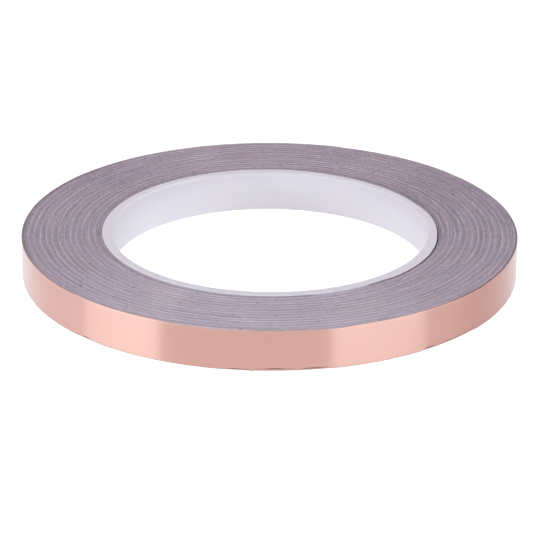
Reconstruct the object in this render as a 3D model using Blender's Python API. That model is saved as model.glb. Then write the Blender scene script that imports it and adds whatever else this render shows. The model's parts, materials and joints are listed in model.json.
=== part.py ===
"""Copper foil tape roll for stained glass: a plastic core and a tape of three layers wound on it.

The tape is one long strip of release liner, adhesive and copper foil, in that order from the core
outwards. Each layer is a strip of its own that spirals from the core to the roll's outside, where
its free end lies on the turn below it and lifts about a line across the tape.

Units are metres, +Z is up. The origin is the centre of the roll's underside.
"""

import math

import bmesh
import bpy

MM = 0.001

# Driving dimensions
TAPE_WIDTH = 10.0 * MM
CORE_BORE_RADIUS = 38.1 * MM
CORE_WALL = 2.3 * MM
CORE_CHAMFER = 0.3 * MM
ROLL_RADIUS = 59.75 * MM
LINER_THICKNESS = 0.115 * MM
ADHESIVE_THICKNESS = 0.035 * MM
FOIL_THICKNESS = 0.035 * MM

# The winding. Only its last turn has the tape's real thickness; each turn of the pack below it is
# as thick as about eight real ones, with the three layers in their real proportion. Seen from
# above, the tape runs clockwise from the core outwards.
PACK_TURNS = 14
STEPS_PER_TURN = 40
START_STEP = 4
TAIL_STEPS = 4
TAIL_ROOT_ANGLE = math.radians(108.0)
WINDING_SENSE = -1.0

# Clearances between pieces that touch on the real roll
LAYER_GAP = 0.004 * MM
ROOT_GAP = 0.02 * MM
CORE_GAP = 0.01 * MM

CORE_SEGMENTS = 80

# Derived sizes
TAPE_THICKNESS = LINER_THICKNESS + ADHESIVE_THICKNESS + FOIL_THICKNESS
CORE_RADIUS = CORE_BORE_RADIUS + CORE_WALL
STEP_ANGLE = 2.0 * math.pi / STEPS_PER_TURN
ROOT_STEP = (PACK_TURNS + 1) * STEPS_PER_TURN
TAIL_TURNS = TAIL_STEPS / STEPS_PER_TURN
# The flats of the innermost turn stand clear of the core's round outside
WINDING_INNER_RADIUS = CORE_RADIUS / math.cos(STEP_ANGLE / 2.0) + CORE_GAP
PACK_OUTER_RADIUS = ROLL_RADIUS - TAPE_THICKNESS * (2.0 + TAIL_TURNS)
PACK_PITCH = (PACK_OUTER_RADIUS - WINDING_INNER_RADIUS) / (PACK_TURNS - 1)

# Each layer's inner and outer face, as fractions of the tape's thickness
LINER_SPAN = (0.0, LINER_THICKNESS / TAPE_THICKNESS)
ADHESIVE_SPAN = (LINER_SPAN[1], 1.0 - FOIL_THICKNESS / TAPE_THICKNESS)
FOIL_SPAN = (ADHESIVE_SPAN[1], 1.0)


def clear_scene():
    for old in list(bpy.data.objects):
        bpy.data.objects.remove(old, do_unlink=True)


def material(name, color, roughness, metallic=0.0):
    made = bpy.data.materials.new(name)
    made.use_nodes = True
    shader = made.node_tree.nodes["Principled BSDF"]
    shader.inputs["Base Color"].default_value = (*color, 1.0)
    shader.inputs["Roughness"].default_value = roughness
    shader.inputs["Metallic"].default_value = metallic
    return made


def tape_inner_radius(turns):
    """Radius of the tape's inner face after so many turns, which is the face of the turn below."""
    if turns <= 1.0:
        return WINDING_INNER_RADIUS
    if turns <= PACK_TURNS:
        return WINDING_INNER_RADIUS + PACK_PITCH * (turns - 1.0)
    return PACK_OUTER_RADIUS + TAPE_THICKNESS * (turns - PACK_TURNS)


def layer_radius(step, fraction):
    """Radius of the face that lies at a fraction of the tape's thickness."""
    turns = step / STEPS_PER_TURN
    inner = tape_inner_radius(turns)
    outer = tape_inner_radius(turns + 1.0)
    return inner + (outer - inner) * fraction


def step_angle(step):
    return TAIL_ROOT_ANGLE + WINDING_SENSE * (step - ROOT_STEP) * STEP_ANGLE


def add_object(name, bm, coat, parent=None):
    """Turns a bmesh in world coordinates into an object, set at its parent's place."""
    mesh = bpy.data.meshes.new(name)
    place = parent.location if parent else (0.0, 0.0, 0.0)
    bmesh.ops.translate(bm, verts=bm.verts, vec=[-value for value in place])
    bmesh.ops.recalc_face_normals(bm, faces=bm.faces)
    bm.to_mesh(mesh)
    bm.free()
    mesh.materials.append(coat)
    mesh.shade_smooth()
    mesh.set_sharp_from_angle(angle=math.radians(30.0))
    made = bpy.data.objects.new(name, mesh)
    made.parent = parent
    bpy.context.collection.objects.link(made)
    return made


def add_strip(name, span, steps, coat, parent=None, root_gap=0.0):
    """One layer of the tape as a band of rectangular section along the spiral."""
    bm = bmesh.new()
    stations = []
    for step in steps:
        angle = step_angle(step)
        if step == steps[0]:
            angle += WINDING_SENSE * root_gap / ROLL_RADIUS
        inner = layer_radius(step, span[0]) + LAYER_GAP / 2.0
        outer = layer_radius(step, span[1]) - LAYER_GAP / 2.0
        corners = ((inner, 0.0), (outer, 0.0), (outer, TAPE_WIDTH), (inner, TAPE_WIDTH))
        stations.append([
            bm.verts.new((radius * math.cos(angle), radius * math.sin(angle), height))
            for radius, height in corners
        ])
    for here, ahead in zip(stations, stations[1:]):
        for i in range(4):
            j = (i + 1) % 4
            bm.faces.new((here[i], here[j], ahead[j], ahead[i]))
    bm.faces.new(stations[0])
    bm.faces.new(stations[-1])
    return add_object(name, bm, coat, parent)


def add_core(coat):
    """The core: a plain ring with small chamfers, turned from its section."""
    inner, outer, top, cut = CORE_BORE_RADIUS, CORE_RADIUS, TAPE_WIDTH, CORE_CHAMFER
    section = (
        (outer, top - cut), (outer, cut), (outer - cut, 0.0), (inner + cut, 0.0),
        (inner, cut), (inner, top - cut), (inner + cut, top), (outer - cut, top),
    )
    bm = bmesh.new()
    rings = []
    for i in range(CORE_SEGMENTS):
        angle = 2.0 * math.pi * i / CORE_SEGMENTS
        rings.append([
            bm.verts.new((radius * math.cos(angle), radius * math.sin(angle), height))
            for radius, height in section
        ])
    for i, ring in enumerate(rings):
        ahead = rings[(i + 1) % CORE_SEGMENTS]
        for j in range(len(section)):
            k = (j + 1) % len(section)
            bm.faces.new((ring[j], ring[k], ahead[k], ahead[j]))
    return add_object("core", bm, coat)


def add_hinge(name):
    """An empty on the line where the free end bends away, on the outer face at its root."""
    radius = layer_radius(ROOT_STEP, 1.0)
    angle = step_angle(ROOT_STEP)
    hinge = bpy.data.objects.new(name, None)
    hinge.location = (radius * math.cos(angle), radius * math.sin(angle), 0.0)
    bpy.context.collection.objects.link(hinge)
    return hinge


def main():
    clear_scene()
    white_plastic = material("core_plastic", (0.80, 0.79, 0.83), 0.35)
    layers = (
        ("release_liner", "liner_tail", LINER_SPAN, "liner_hinge",
         material("liner_paper", (0.62, 0.56, 0.62), 0.75)),
        ("adhesive_layer", "adhesive_tail", ADHESIVE_SPAN, "tape_hinge",
         material("clear_adhesive", (0.58, 0.55, 0.52), 0.45)),
        ("copper_foil", "foil_tail", FOIL_SPAN, "tape_hinge",
         material("copper", (0.78, 0.50, 0.40), 0.28, metallic=1.0)),
    )
    add_core(white_plastic)
    hinges = {name: add_hinge(name) for name in ("liner_hinge", "tape_hinge")}
    wound_steps = range(START_STEP, ROOT_STEP + 1)
    tail_steps = range(ROOT_STEP, ROOT_STEP + TAIL_STEPS + 1)
    for wound_name, tail_name, span, hinge_name, coat in layers:
        add_strip(wound_name, span, wound_steps, coat)
        add_strip(tail_name, span, tail_steps, coat, hinges[hinge_name], ROOT_GAP)


main()
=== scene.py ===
"""Looks of the copper foil tape roll: a plastic core, the wound tape's three layers and its free end.

Each layer is a real strip, which spirals out from the core at its true thickness, so the roll's flat
sides show the cut edges of about a hundred turns. The outermost turn and the free end show the copper.

Lengths are in metres and angles round the roll are in degrees: 0 is the right, 90 the back, 180 the
left and 270 the front, where the camera is.
"""

import json
import math

import bpy
import numpy as np
from mathutils import Matrix, Vector, noise


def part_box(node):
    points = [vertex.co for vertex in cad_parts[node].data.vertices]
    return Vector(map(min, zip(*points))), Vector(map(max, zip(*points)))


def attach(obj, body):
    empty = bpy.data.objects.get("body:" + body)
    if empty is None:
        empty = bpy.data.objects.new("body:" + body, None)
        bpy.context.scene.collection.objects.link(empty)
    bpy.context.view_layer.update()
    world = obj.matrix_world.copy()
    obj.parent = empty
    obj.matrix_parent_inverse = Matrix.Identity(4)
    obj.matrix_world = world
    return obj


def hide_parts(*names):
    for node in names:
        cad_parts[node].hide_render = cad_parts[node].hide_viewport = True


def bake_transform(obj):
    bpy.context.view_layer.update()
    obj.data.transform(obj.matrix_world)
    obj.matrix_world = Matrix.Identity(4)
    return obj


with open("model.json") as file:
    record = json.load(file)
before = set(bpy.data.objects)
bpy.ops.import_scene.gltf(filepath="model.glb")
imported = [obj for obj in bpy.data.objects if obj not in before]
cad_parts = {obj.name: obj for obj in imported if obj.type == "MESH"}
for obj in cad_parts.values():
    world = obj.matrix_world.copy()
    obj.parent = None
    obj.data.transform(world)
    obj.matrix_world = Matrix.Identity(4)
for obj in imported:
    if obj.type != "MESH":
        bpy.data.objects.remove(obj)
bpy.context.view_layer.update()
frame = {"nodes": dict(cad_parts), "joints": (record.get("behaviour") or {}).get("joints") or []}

MM = 0.001
TURN = 2.0 * math.pi

# ------------------------------------------------------------------------------------------------
# Sizes, from the frame
# ------------------------------------------------------------------------------------------------


def radii(node):
    """How far each of a node's vertices is from the roll's axis."""
    return [vertex.co.xy.length for vertex in frame["nodes"][node].data.vertices]


def span_angle(node):
    """The angle round the roll that a node's vertices cover, where they stay clear of the left."""
    angles = [math.atan2(vertex.co.y, vertex.co.x) for vertex in frame["nodes"][node].data.vertices]
    return max(angles) - min(angles)


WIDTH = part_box("core")[1].z
BORE_RADIUS = min(radii("core"))
CORE_RADIUS = max(radii("core"))
HINGE_JOINT = frame["joints"][0]
HINGE = Vector(HINGE_JOINT["pos_m"])
ROOT_RADIUS = HINGE.xy.length
ROOT_ANGLE = math.atan2(HINGE.y, HINGE.x)
SENSE = -math.copysign(1.0, HINGE_JOINT["axis"][2])  # the way the tape winds outwards, seen from above
TAIL_TURNS = span_angle("foil_tail") / TURN

# The core stands a little proud of the tape, and its outside stops a hair short of the solid's. Its
# edges are rounded, more tightly where the top meets the bore.
CORE_PROUD = 0.04 * MM
CORE_INSET = 0.002 * MM
EDGE_ROUNDING = 0.2 * MM
LIP_ROUNDING = 0.1 * MM
ROUNDING_STEPS = 6
CORE_SEGMENTS = 256

# The layers of the tape, from the inside out, as shares of its thickness
LINER, ADHESIVE, FOIL = 0.115 * MM, 0.035 * MM, 0.035 * MM
NOMINAL_THICKNESS = LINER + ADHESIVE + FOIL
LAYERS = {
    "liner": (0.0, LINER / NOMINAL_THICKNESS),
    "adhesive": (LINER / NOMINAL_THICKNESS, (LINER + ADHESIVE) / NOMINAL_THICKNESS),
    "foil": ((LINER + ADHESIVE) / NOMINAL_THICKNESS, 1.0),
}
# Each layer stops this far short of its neighbours, and the tape this far short of the core
LAYER_GAP = 0.002 * MM
CORE_GAP = 0.01 * MM

# Near the core a turn climbs by one thickness in this share of its length
CLIMB_SHARE = 0.22

# The stiff first turn rides out beside the tape's start, which leaves a crescent gap beside the core.
# The rise and the fall each have a place, from the crescent's middle, and a length, in degrees at the
# core. CRESCENT_SPREAD stretches them towards the rim.
START_DEGREES = 305.0
START_ANGLE = math.radians(START_DEGREES)
CRESCENT = 0.66 * MM
CRESCENT_GAP = 0.24 * MM
CRESCENT_MIDDLE = 23.0
CRESCENT_RISE = (-24.0, 14.0)
CRESCENT_FALL = (4.0, 40.0)
CRESCENT_SPREAD = 1.5

# The core is pressed in a little at the back right, and the tape follows it
FLAT_MIDDLE, FLAT_REACH, FLAT_EASE = 45.0, 38.0, 23.0
FLAT_DEPTH = 0.45 * MM

# The wound turns, from the tape's start to the hinge, fill the room from the core to the hinge
START_SHARE = (SENSE * (ROOT_ANGLE - START_ANGLE) / TURN) % 1.0
BUILD = ROOT_RADIUS - CORE_RADIUS - CORE_GAP
WOUND_TURNS = math.floor(BUILD / NOMINAL_THICKNESS - 1.0 - START_SHARE) + START_SHARE
THICKNESS = BUILD / (WOUND_TURNS + 1.0)

# Cross-sections in each turn of the pack, in the outermost turn, and along the free end
PACK_STEPS = 96
OUTER_STEPS = 1080
TAIL_STEPS = 96


def smooth(x):
    x = np.clip(x, 0.0, 1.0)
    return x * x * (3.0 - 2.0 * x)


def degrees_away(angles, centre):
    return np.abs((np.degrees(angles) - centre + 180.0) % 360.0 - 180.0)


def crescent_at(angles, outward):
    """How far the tape rides out beside its start. `outward` is 0 at the core and 1 at the rim, where
    nothing is left of the crescent."""
    past_start = (np.degrees(angles - START_ANGLE) + 150.0) % 360.0 - 150.0
    away = (past_start - CRESCENT_MIDDLE) / (1.0 + CRESCENT_SPREAD * outward)
    rise = smooth((away - CRESCENT_RISE[0]) / CRESCENT_RISE[1])
    fall = smooth((away - CRESCENT_FALL[0]) / CRESCENT_FALL[1])
    return CRESCENT * (1.0 - outward) * (rise * (1.0 - fall))


def flat_at(angles):
    """How far the core's outside is pressed in at its flat spot."""
    return FLAT_DEPTH * smooth((FLAT_REACH - degrees_away(angles, FLAT_MIDDLE)) / FLAT_EASE)


def core_shift(angles):
    """How far the core's outside stands from a true circle: out in the crescent, as far as its gap
    allows, and in at the flat spot."""
    return np.maximum(crescent_at(angles, 0.0) - CRESCENT_GAP, 0.0) - flat_at(angles)


def tape_angle(turns):
    return ROOT_ANGLE + SENSE * TURN * (turns - WOUND_TURNS)


def tape_shift(turns):
    """How far the tape stands from its spiral: out in the crescent, and in at the flat spot."""
    outward = np.clip(turns / WOUND_TURNS, 0.0, 1.0)
    angles = tape_angle(turns)
    return crescent_at(angles, outward) - flat_at(angles) * (1.0 - outward)


def tape_radius(turns):
    """The tape's inner face. Near the core each turn climbs in one short stretch, where it passes over
    the tape's start, and further out it climbs evenly. The first half turn lies on the core."""
    whole = np.floor(turns)
    part = turns - whole
    evenness = np.clip(whole / WOUND_TURNS, 0.0, 1.0)
    stepped = smooth((part - 1.0 + CLIMB_SHARE) / CLIMB_SHARE)
    climb = THICKNESS * (whole + (1.0 - evenness) * stepped + evenness * part)
    started = np.where(turns > 0.5, 1.0, 0.0)
    return CORE_RADIUS + CORE_GAP + climb + started * tape_shift(turns)


# ------------------------------------------------------------------------------------------------
# Meshes
# ------------------------------------------------------------------------------------------------


SHARP_DEGREES = 30.0


def mesh_object(name, points, faces, coats):
    """A smooth object with sharp edges where its faces meet at more than SHARP_DEGREES."""
    mesh = bpy.data.meshes.new(name)
    mesh.from_pydata(points, [], faces)
    mesh.update()
    mesh.shade_smooth()
    mesh.set_sharp_from_angle(angle=math.radians(SHARP_DEGREES))
    for coat in coats:
        mesh.materials.append(coat)
    made = bpy.data.objects.new(name, mesh)
    bpy.context.scene.collection.objects.link(made)
    return made


def strip(name, rows, coats):
    """A closed strip through rows of corners, as sections() gives them. Its wide faces wear the first
    coat, and its cut edges and ends the last."""
    count, corners, _ = rows.shape
    index = np.arange(count * corners).reshape(count, corners)
    ahead = np.roll(index, -1, axis=1)
    sides = np.stack([index[:-1], ahead[:-1], ahead[1:], index[1:]], axis=-1).reshape(-1, 4)
    start, end = index[0][::-1].tolist(), index[-1].tolist()
    if SENSE < 0:
        sides, start, end = sides[:, ::-1], start[::-1], end[::-1]
    made = mesh_object(name, rows.reshape(-1, 3), sides.tolist() + [start, end], coats)
    if len(coats) > 1:
        edges = np.ones((count - 1, corners), int)
        edges[:, [1, 3]] = 0
        made.data.polygons.foreach_set("material_index", np.append(edges.reshape(-1), (1, 1)))
    return made


def tape_noise(turns, along, across, seed):
    """Smooth noise that changes over `along` round the roll and `across` from turn to turn."""
    angles, tape_radii = tape_angle(turns), tape_radius(turns)
    return np.array([
        noise.noise(Vector((r * math.cos(a) / along, r * math.sin(a) / along, seed + r / across)))
        for r, a in zip(tape_radii, angles)
    ])


# Stretches of the outermost turn: each one's middle and half width in degrees, and its depth in
# millimetres.
# - LIFTED: the whole turn stops short of the floor, and the turn inside it shows.
# - LOW_DARK and HIGH_DARK: the copper stops short of the adhesive at its lower or its upper edge, which
#   leaves a dark line.
# - TOP_PALE: copper and adhesive stop short of the paper at their upper edge.
LIFTED = (
    (225.5, 3, 0.16), (263, 3, 0.22), (271.5, 5, 0.42), (280, 4, 0.34), (314, 9, 0.24), (75, 20, 0.30),
    (140, 16, 0.2),
)
LOW_DARK = (
    (270, 170, 0.11), (225.5, 1.6, 0.14), (262.6, 1.3, 0.10), (265.5, 1.2, 0.10), (271.2, 2.2, 0.16),
    (279.6, 2.4, 0.14), (307.8, 1.5, 0.20), (320, 10, 0.06), (60, 9, 0.12), (102, 7, 0.14),
    (150, 14, 0.10),
)
HIGH_DARK = (
    (332, 20, 0.09), (325, 2.0, 0.10), (200, 24, 0.13), (178, 12, 0.10), (20, 22, 0.10), (75, 18, 0.12),
    (128, 14, 0.10),
)
TOP_PALE = ((268, 22, 0.22), (110, 16, 0.2))

# How far the wound liner's and the wound adhesive's cut edges lie behind the foil's
LINER_RECESS = 0.004 * MM
ADHESIVE_RECESS = 0.02 * MM

# The tape's lower edge stands this far off the floor, give or take the shift of a turn
LOW_EDGE = 0.05 * MM


def outer_cut(turns, stretches):
    """How far the outermost turn stops short of the roll's side, in the named stretches."""
    total = np.zeros_like(turns)
    for middle, half, depth in stretches:
        away = degrees_away(tape_angle(turns), middle)
        total += depth * MM * smooth((half - away) / (0.5 + 0.2 * half))
    return np.where(turns >= WOUND_TURNS - 1.0, total, 0.0)


def turn_shift(turns):
    """Turns lie a little unevenly: groups of them swell out, and single turns stand proud."""
    swell = 0.028 * MM * tape_noise(turns, 40 * MM, 0.9 * MM, 3.0)
    return swell + 0.05 * MM * tape_noise(turns, 25 * MM, 0.25 * MM, 8.0)


def sections(layer, turns, recess=0.0, bare_low=0.0, bare_high=0.0):
    """A layer's cross-sections, of four corners each, at places along the tape, counted in turns from
    its start. `recess` sets back both cut edges, and `bare_low` and `bare_high` one of them."""
    inner_share, outer_share = LAYERS[layer]
    angles, shift = tape_angle(turns), turn_shift(turns)
    inner = tape_radius(turns) + THICKNESS * inner_share + LAYER_GAP
    outer = tape_radius(turns) + THICKNESS * outer_share - LAYER_GAP
    low = np.maximum(LOW_EDGE + shift + recess, 0.0) + outer_cut(turns, LIFTED) + bare_low
    high = WIDTH + shift - recess - bare_high
    corners = ((inner, low), (outer, low), (outer, high), (inner, high))
    return np.stack([
        np.stack([r * np.cos(angles), r * np.sin(angles), z], axis=-1) for r, z in corners
    ], axis=1)


def stations(first, last, per_turn):
    return np.linspace(first, last, max(2, round((last - first) * per_turn) + 1))


# ------------------------------------------------------------------------------------------------
# Materials
# ------------------------------------------------------------------------------------------------

WHITE = (1, 1, 1)


class Coat:
    """A material with a Principled shader, and short ways to add nodes to it. A colour is a socket or
    three numbers."""

    def __init__(self, name, **values):
        self.material = bpy.data.materials.new(name)
        self.material.use_nodes = True
        self.tree = self.material.node_tree
        self.shader = self.tree.nodes["Principled BSDF"]
        self.fill(self.shader, {key.replace("_", " "): value for key, value in values.items()})
        self.place = self.add("TexCoord").outputs["Object"]
        level = self.add("VectorMath", {0: self.place, 1: (1, 1, 0)}, operation="MULTIPLY")
        self.flat = level.outputs[0]
        self.radius = self.add("VectorMath", {0: self.flat}, operation="LENGTH").outputs["Value"]
        self.x, self.y, self.height = self.add("SeparateXYZ", {0: self.place}).outputs

    def fill(self, made, inputs):
        for key, value in inputs.items():
            if isinstance(value, bpy.types.NodeSocket):
                self.tree.links.new(value, made.inputs[key])
            else:
                made.inputs[key].default_value = value

    def paint(self, color):
        self.fill(self.shader, {"Base Color": color})

    def add(self, kind, inputs=None, **settings):
        made = self.tree.nodes.new("ShaderNode" + kind)
        for key, value in settings.items():
            setattr(made, key, value)
        self.fill(made, inputs or {})
        return made

    def math(self, operation, *values):
        return self.add("Math", dict(enumerate(values)), operation=operation).outputs[0]

    def along_tape(self, along, across, seed=0.0):
        """A place for noise that is drawn out along the tape: `along` and `across` in metres."""
        return self.lifted(along, self.math("MULTIPLY_ADD", self.radius, 1.0 / across, seed))

    def lifted(self, along, height):
        """A place for noise: the place on the floor in units of `along`, lifted to a height."""
        scaled = self.add("VectorMath", {0: self.flat, "Scale": 1.0 / along}, operation="SCALE")
        lift = self.add("CombineXYZ", {"Z": height})
        values = {0: scaled.outputs[0], 1: lift.outputs[0]}
        return self.add("VectorMath", values, operation="ADD").outputs[0]

    def noise(self, vector, scale=1.0, detail=2.0, roughness=0.5):
        """Smooth noise. `scale` is one over the size of its patches."""
        values = {"Vector": vector, "Scale": scale, "Detail": detail, "Roughness": roughness}
        return self.add("TexNoise", values).outputs["Fac"]

    def between(self, value, low, high, new_low=0.0, new_high=1.0):
        values = {0: value, 1: low, 2: high, 3: new_low, 4: new_high}
        return self.add("MapRange", values).outputs[0]

    def smooth_between(self, value, low, high):
        values = {0: value, 1: low, 2: high}
        return self.add("MapRange", values, interpolation_type="SMOOTHSTEP").outputs[0]

    def angle_window(self, centre, half, soft):
        """1 within `half` degrees of `centre` round the roll, falling to 0 over `soft` degrees more."""
        way = Vector((math.cos(math.radians(centre)), math.sin(math.radians(centre)), 0.0))
        ahead = self.add("VectorMath", {0: self.flat, 1: way}, operation="DOT_PRODUCT").outputs["Value"]
        cosine = self.math("DIVIDE", ahead, self.radius)
        limits = [math.cos(math.radians(angle)) for angle in (half + soft, half)]
        return self.smooth_between(cosine, *limits)

    def changed(self, value, share, change):
        """The value times 1 + `change` where `share` is 1, and the value itself where it is 0."""
        return self.math("MULTIPLY", value, self.math("MULTIPLY_ADD", share, change, 1.0))

    def mix(self, share, first, second, blend="MIX"):
        made = self.add("Mix", data_type="RGBA", blend_type=blend)
        colors = [c if isinstance(c, bpy.types.NodeSocket) else (*c, 1) for c in (first, second)]
        self.fill(made, {0: share, 6: colors[0], 7: colors[1]})
        return made.outputs[2]

    def tint(self, color, share, inside, outside=WHITE):
        """The colour times `inside` where `share` is 1, and times `outside` where it is 0."""
        return self.mix(1.0, color, self.mix(share, outside, inside), "MULTIPLY")

    def shaded(self, color, shade):
        """The colour times a brightness."""
        grey = self.add("CombineColor", {0: shade, 1: shade, 2: shade}).outputs[0]
        return self.mix(1.0, color, grey, "MULTIPLY")

    def brush(self):
        """Fine lines round the roll, which spread the metal's reflections across them."""
        tangent = self.add("Tangent", direction_type="RADIAL", axis="Z")
        self.fill(self.shader, {"Tangent": tangent.outputs[0]})


# The light rings in the wound side: their pitch, the radius of one of them, and how far they are off
# the roll's axis
RING_PITCH = 1.43 * MM
RING_START = 42.02 * MM
RING_OFFSET = (0.29 * MM, 0.0, 0.0)
RING_WANDER = 0.3
RING_HARMONICS = ((2, 0.65), (3, 0.42))


def rings(coat):
    """Thin light rings in the wound side: where the winding is tighter, the cut edges catch more light.
    They are broken along their length, and clearest at the back, then at the front and the sides."""
    moved = coat.add("VectorMath", {0: coat.flat, 1: RING_OFFSET}, operation="ADD").outputs[0]
    radius = coat.add("VectorMath", {0: moved}, operation="LENGTH").outputs["Value"]
    wander = coat.noise(coat.place, 1 / (16 * MM), 2.0)
    wander = coat.math("MULTIPLY_ADD", wander, RING_WANDER, -0.5 * RING_WANDER)
    count = coat.math("DIVIDE", coat.math("SUBTRACT", radius, RING_START), RING_PITCH)
    count = coat.math("ADD", wander, count)
    wave = coat.math("COSINE", coat.math("MULTIPLY", count, TURN))
    for harmonic, share in RING_HARMONICS:
        higher = coat.math("COSINE", coat.math("MULTIPLY", count, harmonic * TURN))
        wave = coat.math("MULTIPLY_ADD", higher, share, wave)
    breaks = coat.noise(coat.along_tape(7 * MM, 0.8 * MM, 2.0), 1.0, 1.0)
    broken = coat.between(breaks, 0.3, 0.7, 0.55, 1.45)
    sides = coat.math("MAXIMUM", coat.angle_window(0, 20, 45), coat.angle_window(180, 20, 45))
    clear = coat.between(sides, 0.0, 1.0, 0.6, 0.95)
    clear = coat.math("MULTIPLY_ADD", coat.angle_window(270, 12, 28), 0.5, clear)
    clear = coat.math("ADD", coat.angle_window(90, 20, 25), clear)
    return coat.math("MULTIPLY", wave, coat.math("MULTIPLY", broken, clear))


def worn_rim(coat):
    """How worn and brown the outermost turns' edges are: 0 further in, and at the rim a little
    everywhere, more at the front right and most at the back left."""
    rim = coat.smooth_between(coat.radius, ROOT_RADIUS - 0.9 * MM, ROOT_RADIUS - 0.45 * MM)
    front_right = coat.math("MULTIPLY", coat.angle_window(335, 28, 10), 0.4)
    worst = coat.math("MAXIMUM", coat.angle_window(160, 28, 18), front_right)
    return coat.math("MULTIPLY", rim, coat.between(worst, 0.0, 1.0, 0.25, 0.8))


def wound_shade(coat, ring_depth, streak_depth, grain_depth):
    """Brightness of a wound layer's cut edges, from rings, streaks along the tape, grain and specks."""
    shade = coat.math("MULTIPLY_ADD", rings(coat), ring_depth, 1.0)

    # The first turns are darker, except for a pale spot beside the tape's start
    first_turns = coat.between(coat.radius, CORE_RADIUS + 0.8 * MM, CORE_RADIUS + 1.4 * MM, 0.84, 1.0)
    shade = coat.math("MULTIPLY", shade, first_turns)
    beside_core = coat.smooth_between(coat.radius, CORE_RADIUS + 1.2 * MM, CORE_RADIUS + 0.5 * MM)
    start = coat.math("MULTIPLY", beside_core, coat.angle_window(START_DEGREES - 11, 8, 3))
    shade = coat.changed(shade, start, 0.55)

    # Painted light: the edges are painted brighter at the back left and a little darker at the back
    # right, for how the light falls there. They are also dark where worn
    back = coat.math("MULTIPLY_ADD", coat.angle_window(125, 40, 30), 0.10, 1.0)
    back = coat.math("MULTIPLY_ADD", coat.angle_window(45, 10, 25), -0.025, back)
    shade = coat.math("MULTIPLY", shade, back)
    shade = coat.changed(shade, worn_rim(coat), -0.36)

    streaks = coat.noise(coat.along_tape(14 * MM, 0.42 * MM), 1.0, 3.0)
    streaks = coat.between(streaks, 0.25, 0.75, 1 - streak_depth, 1 + streak_depth)
    shade = coat.math("MULTIPLY", shade, streaks)

    # The grain is stronger at the back right
    grain = coat.noise(coat.along_tape(1.6 * MM, 0.34 * MM, 7.0), 1.0, 2.0, 0.6)
    grain = coat.between(grain, 0.25, 0.75, -grain_depth, grain_depth)
    grain = coat.changed(grain, coat.angle_window(50, 35, 25), 0.4)
    shade = coat.math("MULTIPLY", shade, coat.math("ADD", grain, 1.0))

    specks = coat.noise(coat.along_tape(1.1 * MM, 0.7 * MM, 5.0), 1.0, 0.0)
    return coat.math("MULTIPLY", shade, coat.between(specks, 0.72, 0.84, 1.0, 0.6))


COOL_PATCH, WARM_PATCH = (0.975, 0.99, 1.015), (1.025, 0.995, 0.985)
WORN_BROWN = (1.0, 0.82, 0.73)
# The cast at the front is a painted sheen; elsewhere the edges are a touch dimmer
FRONT_SHEEN_CAST, OTHER_CAST = (0.945, 1.0, 0.99), (0.985, 0.985, 0.985)


def tinted(coat, color, shade):
    """A cut edge's colour: it drifts between a cool and a warm cast in soft patches, is brown where the
    rim is worn, is cooler at the front with a painted sheen, and is multiplied by the brightness."""
    patches = coat.noise(coat.place, 1 / (6 * MM), 3.0, 0.6)
    color = coat.tint(color, coat.between(patches, 0.35, 0.65), WARM_PATCH, COOL_PATCH)
    color = coat.tint(color, worn_rim(coat), WORN_BROWN)
    # Painted sheen: cooler at the front
    color = coat.tint(color, coat.angle_window(262, 28, 30), FRONT_SHEEN_CAST, OTHER_CAST)
    return coat.shaded(color, shade)


def paper():
    """The release liner's cut edges."""
    coat = Coat("liner_paper", Roughness=0.9, Specular_IOR_Level=0.2)
    coat.paint(tinted(coat, (0.408, 0.293, 0.361), wound_shade(coat, 0.12, 0.19, 0.16)))
    return coat.material


def adhesive_coat():
    """The adhesive's cut edges."""
    coat = Coat("clear_adhesive", Roughness=0.7, Specular_IOR_Level=0.25)
    coat.paint(tinted(coat, (0.150, 0.072, 0.058), wound_shade(coat, 0.12, 0.22, 0.18)))
    return coat.material


def copper_edge():
    """The foil's cut edges."""
    coat = Coat("copper_edge", Metallic=1.0, Roughness=0.62, Anisotropic=0.6, Anisotropic_Rotation=0.25)
    coat.brush()
    coat.paint(tinted(coat, (0.372, 0.211, 0.217), wound_shade(coat, 0.12, 0.22, 0.18)))
    return coat.material


def liner_face():
    """The release liner's smooth side, which shows where the free end is lifted."""
    coat = Coat("liner_face", Roughness=0.45, Specular_IOR_Level=0.4)
    fibres = coat.noise(coat.place, 1 / (1.5 * MM), 3.0)
    coat.paint(coat.mix(coat.between(fibres, 0.3, 0.7), (0.53, 0.395, 0.40), (0.56, 0.42, 0.425)))
    return coat.material


def sticky_face():
    """Clear adhesive over the foil's back: the copper shows through, a little dulled."""
    coat = Coat("sticky_face", Metallic=0.75, Roughness=0.38)
    smears = coat.noise(coat.place, 1 / (3 * MM), 3.0)
    coat.paint(coat.mix(coat.between(smears, 0.3, 0.7), (0.50, 0.28, 0.235), (0.56, 0.32, 0.27)))
    return coat.material


COPPER = (0.582, 0.324, 0.287)
SOFT_COPPER = (0.570, 0.316, 0.276)
# The pale colour is a painted sheen for grazing angles
SHEEN_COPPER = (0.67, 0.53, 0.61)
# Painted shade at the front's right end, and painted light at its left end
RIGHT_END_SHADE = (0.88, 0.81, 0.82)
LEFT_END_LIGHT = (1.07, 1.10, 1.14)


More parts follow.
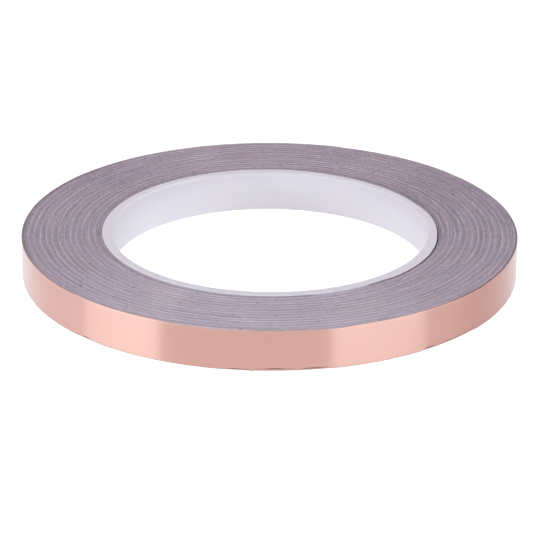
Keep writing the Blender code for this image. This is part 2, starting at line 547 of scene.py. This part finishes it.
def copper():
    """Rolled foil: fine lines along the tape spread its reflections up and down, and keep them sharp
    sideways. A painted sheen pales it where it is seen at a grazing angle, painted shade darkens the
    right end of the front, painted light brightens the left end, and a painted highlight brightens
    it towards its top edge."""
    coat = Coat("copper", Metallic=1.0, Anisotropic=1.0, Anisotropic_Rotation=0.25)
    coat.brush()
    lines = coat.lifted(9 * MM, coat.math("MULTIPLY", coat.height, 1 / (0.35 * MM)))
    rolled = coat.noise(lines, 1.0, 3.0, 0.6)
    waves = coat.noise(coat.flat, 1 / (7 * MM), 2.0)
    relief = coat.math("MULTIPLY_ADD", rolled, 0.04, coat.math("MULTIPLY", waves, 5.0))
    haze = coat.noise(coat.place, 1 / (12 * MM), 3.0, 0.55)
    color = coat.mix(coat.between(haze, 0.3, 0.7), COPPER, SOFT_COPPER)
    # Painted sheen: the colour pales where the foil is seen at a grazing angle
    facing = coat.add("LayerWeight", {"Blend": 0.5}).outputs["Facing"]
    grazing = coat.math("MULTIPLY", coat.smooth_between(facing, 0.62, 1.0), 0.5)
    color = coat.mix(grazing, color, SHEEN_COPPER)
    # Painted shade at the right end of the front, and painted light at the left end
    color = coat.tint(color, coat.angle_window(338, 10, 16), RIGHT_END_SHADE)
    color = coat.tint(color, coat.angle_window(211, 10, 8), LEFT_END_LIGHT)
    # Painted highlight: the copper is a little brighter towards its top edge
    top = coat.smooth_between(coat.height, WIDTH - 1.0 * MM, WIDTH - 0.3 * MM)
    shade = coat.math("MULTIPLY_ADD", top, 0.05, coat.between(rolled, 0.3, 0.7, 0.985, 1.01))
    coat.paint(coat.shaded(color, shade))
    bump = coat.add("Bump", {"Strength": 0.25, "Distance": 0.004 * MM, "Height": relief})
    coat.fill(coat.shader, {
        "Roughness": coat.between(rolled, 0.3, 0.7, 0.208, 0.213),
        "Normal": bump.outputs[0],
    })
    return coat.material


CORE_CLOUDS = ((0.503, 0.398, 0.442), (0.520, 0.406, 0.450))
LOW_CAST, HIGH_CAST = (1.14, 1.20, 1.18), (0.90, 0.895, 0.90)
END_FRONT, END_BACK = (0.495, 0.379, 0.424), (0.585, 0.450, 0.498)
LIP_SHADE = (0.40, 0.315, 0.35)
GAP_SHADE = (0.22, 0.118, 0.112)


def plastic():
    """Translucent white plastic, with painted light that makes it paler towards the floor and the left.
    Its top end has painted light of its own, paler towards the back, with painted shade on the lip at
    the bore there. Its outside, under the tape, has painted shade for the gap beside the tape."""
    coat = Coat("core_plastic", Roughness=0.6, Specular_IOR_Level=0.3, Subsurface_Weight=0.25,
                Subsurface_Scale=1.5 * MM, Subsurface_Radius=(1.0, 1.0, 1.0))
    clouds = coat.noise(coat.place, 1 / (14 * MM), 3.0)
    color = coat.mix(coat.between(clouds, 0.3, 0.7), *CORE_CLOUDS)
    # Painted light: paler towards the glowing floor and towards the left
    color = coat.tint(color, coat.between(coat.height, 1.5 * MM, 9 * MM), HIGH_CAST, LOW_CAST)
    color = coat.shaded(color, coat.between(coat.x, -38 * MM, 38 * MM, 1.05, 0.84))

    # Painted light: the top end is coloured for how light falls on it, paler towards the back
    end = coat.smooth_between(coat.height, WIDTH - 0.16 * MM, WIDTH - 0.02 * MM)
    color = coat.mix(end, color, coat.mix(coat.between(coat.y, -40 * MM, 30 * MM), END_FRONT, END_BACK))

    # Painted shade on the lip at the bore, towards the back right
    by_bore = coat.smooth_between(coat.radius, BORE_RADIUS + 0.28 * MM, BORE_RADIUS + 0.08 * MM)
    near_top = coat.smooth_between(coat.height, WIDTH - 0.3 * MM, WIDTH - 0.1 * MM)
    lip = coat.math("MULTIPLY", by_bore, near_top)
    lip = coat.math("MULTIPLY", lip, coat.angle_window(58, 35, 35))
    color = coat.mix(lip, color, LIP_SHADE)

    # Painted shade: the core's outside is dark below its top, where it faces the gap beside the tape
    outside = coat.smooth_between(coat.radius, CORE_RADIUS - 0.12 * MM, CORE_RADIUS - 0.03 * MM)
    below_top = coat.smooth_between(coat.height, WIDTH + 0.02 * MM, WIDTH - 0.1 * MM)
    coat.paint(coat.mix(coat.math("MULTIPLY", outside, below_top), color, GAP_SHADE))

    grain = coat.noise(coat.place, 1 / (0.6 * MM), 3.0)
    bump = coat.add("Bump", {"Strength": 0.12, "Distance": 0.02 * MM, "Height": grain})
    coat.fill(coat.shader, {"Normal": bump.outputs[0]})
    return coat.material


# ------------------------------------------------------------------------------------------------
# Pieces
# ------------------------------------------------------------------------------------------------


def core_profile():
    """The tube's section, with rounded edges."""
    points = []
    inner, outer, top = BORE_RADIUS, CORE_RADIUS - CORE_INSET, WIDTH + CORE_PROUD
    for corner_r, corner_z, first, rounding in (
        (inner, 0.0, 180, EDGE_ROUNDING),
        (outer, 0.0, 270, EDGE_ROUNDING),
        (outer, top, 0, EDGE_ROUNDING),
        (inner, top, 90, LIP_ROUNDING),
    ):
        r = corner_r + math.copysign(rounding, 0.5 * (inner + outer) - corner_r)
        z = corner_z + math.copysign(rounding, 0.5 * WIDTH - corner_z)
        for step in range(ROUNDING_STEPS + 1):
            angle = math.radians(first + 90 * step / ROUNDING_STEPS)
            points.append((r + rounding * math.cos(angle), z + rounding * math.sin(angle)))
    return points


def core_tube(coat):
    """The core: its bore is round, and its outside follows core_shift()."""
    profile = core_profile()
    count = len(profile)
    middle = 0.5 * (BORE_RADIUS + CORE_RADIUS)
    points, faces = [], []
    for segment in range(CORE_SEGMENTS):
        angle = TURN * segment / CORE_SEGMENTS
        shift = float(core_shift(angle))
        for r, z in profile:
            if r > middle:
                r += shift
            points.append((r * math.cos(angle), r * math.sin(angle), z))
        here, there = segment * count, (segment + 1) % CORE_SEGMENTS * count
        for corner in range(count):
            after = (corner + 1) % count
            faces.append((here + corner, there + corner, there + after, here + after))
    return mesh_object("core_tube", points, faces, [coat])


plain_paper, glue, foil_edge, foil_face = paper(), adhesive_coat(), copper_edge(), copper()

core = core_tube(plastic())
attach(core, "roll")
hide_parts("core")

pack = stations(0.0, WOUND_TURNS - 1.0, PACK_STEPS)
outer = stations(WOUND_TURNS - 1.0, WOUND_TURNS, OUTER_STEPS)
whole = np.append(pack[:-1], outer)

liner_rows = sections("liner", whole, LINER_RECESS)
adhesive_rows = sections("adhesive", whole, ADHESIVE_RECESS, 0.0, outer_cut(whole, TOP_PALE))
foil_rows = sections("foil", pack)
for name, rows, coats, node, slot in (
    ("liner_winding", liner_rows, [plain_paper], "release_liner", "liner_paper"),
    ("adhesive_winding", adhesive_rows, [glue], "adhesive_layer", "clear_adhesive"),
    ("foil_winding", foil_rows, [foil_face, foil_edge], "copper_foil", "copper"),
):
    piece = strip(name, rows, coats)
    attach(piece, "roll")
    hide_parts(node)

# The foil's outermost turn: it stops short of the adhesive in places, where the adhesive shows dark
foil_low = outer_cut(outer, LOW_DARK)
foil_high = outer_cut(outer, TOP_PALE) + outer_cut(outer, HIGH_DARK)
outer_rows = sections("foil", outer, 0.0, foil_low, foil_high)
wrap = strip("foil_outer_turn", outer_rows, [foil_face, foil_edge])
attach(wrap, "roll")

# The free end: each layer runs on along the spiral past the wound turns, as far round as the tail
# reaches
tail = stations(WOUND_TURNS, WOUND_TURNS + TAIL_TURNS, TAIL_STEPS / TAIL_TURNS)
for layer, body, node, coats, slot in (
    ("liner", "liner_end", "liner_tail", [liner_face(), plain_paper], "liner_paper"),
    ("adhesive", "tape_end", "adhesive_tail", [sticky_face(), glue], "clear_adhesive"),
    ("foil", "tape_end", "foil_tail", [foil_face, foil_edge], "copper"),
):
    piece = strip(layer + "_end", sections(layer, tail), coats)
    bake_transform(piece)
    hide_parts(node)

# ------------------------------------------------------------------------------------------------
# Floor, light and camera
# ------------------------------------------------------------------------------------------------

# A glowing floor, which reads as a white background and lights the roll from below
FLOOR_GLOW = 0.95
FLOOR_GREY = (0.18, 0.18, 0.18, 1)
FLOOR_REACH = 4.0
FLOOR_DROP = 0.02 * MM
floor_coat = Coat("floor", Roughness=0.9, Base_Color=FLOOR_GREY, Emission_Color=(1, 1, 1, 1),
                  Emission_Strength=FLOOR_GLOW)
floor_corners = [(x * FLOOR_REACH, y * FLOOR_REACH, 0) for x, y in ((-1, -1), (1, -1), (1, 1), (-1, 1))]
floor = mesh_object("floor", floor_corners, [(0, 1, 2, 3)], [floor_coat.material])
floor.location.z = -FLOOR_DROP

# Brightness of the sky just above the horizon's band, overhead, added at the left, and in the band
SKY_SIDE, SKY_TOP, SKY_LEFT, HORIZON = 0.02, 0.04, 1.12, 1.06
SKY_TINT = (0.94, 0.94, 1.0, 1.0)


def studio_world():
    """White at the horizon and below, almost dark above it, and bright again towards the left."""
    world = bpy.data.worlds.new("studio")
    world.use_nodes = True
    tree = world.node_tree
    links = tree.links.new

    def ramp(value, low, high, new_low, new_high):
        made = tree.nodes.new("ShaderNodeMapRange")
        made.interpolation_type = "SMOOTHSTEP"
        links(value, made.inputs[0])
        for slot, number in enumerate((low, high, new_low, new_high), 1):
            made.inputs[slot].default_value = number
        return made.outputs[0]

    way = tree.nodes.new("ShaderNodeSeparateXYZ")
    links(tree.nodes.new("ShaderNodeTexCoord").outputs["Generated"], way.inputs[0])
    above = tree.nodes.new("ShaderNodeMath")
    above.operation = "ADD"
    links(ramp(way.outputs["Z"], 0.35, 0.95, SKY_SIDE, SKY_TOP), above.inputs[0])
    links(ramp(way.outputs["X"], -0.3, -1.0, 0.0, SKY_LEFT), above.inputs[1])
    mixed = tree.nodes.new("ShaderNodeMix")
    links(ramp(way.outputs["Z"], 0.05, 0.14, 1.0, 0.0), mixed.inputs[0])
    links(above.outputs[0], mixed.inputs[2])
    mixed.inputs[3].default_value = HORIZON
    shade = tree.nodes["Background"]
    shade.inputs["Color"].default_value = SKY_TINT
    links(mixed.outputs[0], shade.inputs["Strength"])
    return world


def softbox(name, azimuth, elevation, distance, size, power, tint):
    """A rectangular light that faces the roll. Its azimuth is 0 at the camera and grows to the right."""
    light = bpy.data.lights.new(name, "AREA")
    light.shape = "RECTANGLE"
    light.size, light.size_y = size
    light.energy = power
    light.color = tint
    made = bpy.data.objects.new(name, light)
    a, e = math.radians(azimuth), math.radians(elevation)
    way = Vector((math.sin(a) * math.cos(e), -math.cos(a) * math.cos(e), math.sin(e)))
    made.location = way * distance
    made.rotation_euler = made.location.to_track_quat("Z", "Y").to_euler()
    made.visible_camera = False
    bpy.context.scene.collection.objects.link(made)


# The side boxes make the two bright bands on the copper, and the front box lights the roll from above
SIDE_TINT = (0.685, 0.98, 1.0)
FRONT_TINT = (0.816, 1.0, 1.0)
bpy.context.scene.world = studio_world()
softbox("left_box", azimuth=-67.4, elevation=10, distance=1.6, size=(1.10, 0.4), power=28.0,
        tint=SIDE_TINT)
softbox("right_box", azimuth=49.2, elevation=10, distance=1.6, size=(1.28, 0.4), power=24.6,
        tint=SIDE_TINT)
softbox("front_box", azimuth=0.0, elevation=72, distance=0.34, size=(0.3, 0.2), power=1.44,
        tint=FRONT_TINT)

CAMERA_DISTANCE = 0.6994
CAMERA_ELEVATION = math.radians(22.89)
CAMERA_ROLL = math.radians(0.26)
CAMERA_AIM = Vector((-0.72 * MM, 0.0, 0.26 * MM))
SENSOR_WIDTH_MM, FOCAL_LENGTH_MM = 36.0, 194.76

lens = bpy.data.cameras.new("camera")
lens.sensor_width, lens.lens = SENSOR_WIDTH_MM, FOCAL_LENGTH_MM
lens.clip_start, lens.clip_end = 0.05, 20.0
camera = bpy.data.objects.new("camera", lens)
to_camera = Vector((0.0, -math.cos(CAMERA_ELEVATION), math.sin(CAMERA_ELEVATION)))
turned = to_camera.to_track_quat("Z", "Y").to_matrix().to_4x4() @ Matrix.Rotation(CAMERA_ROLL, 4, "Z")
camera.matrix_world = Matrix.Translation(CAMERA_AIM + to_camera * CAMERA_DISTANCE) @ turned
bpy.context.scene.collection.objects.link(camera)
bpy.context.scene.camera = camera
bpy.context.scene.view_settings.view_transform = "Standard"
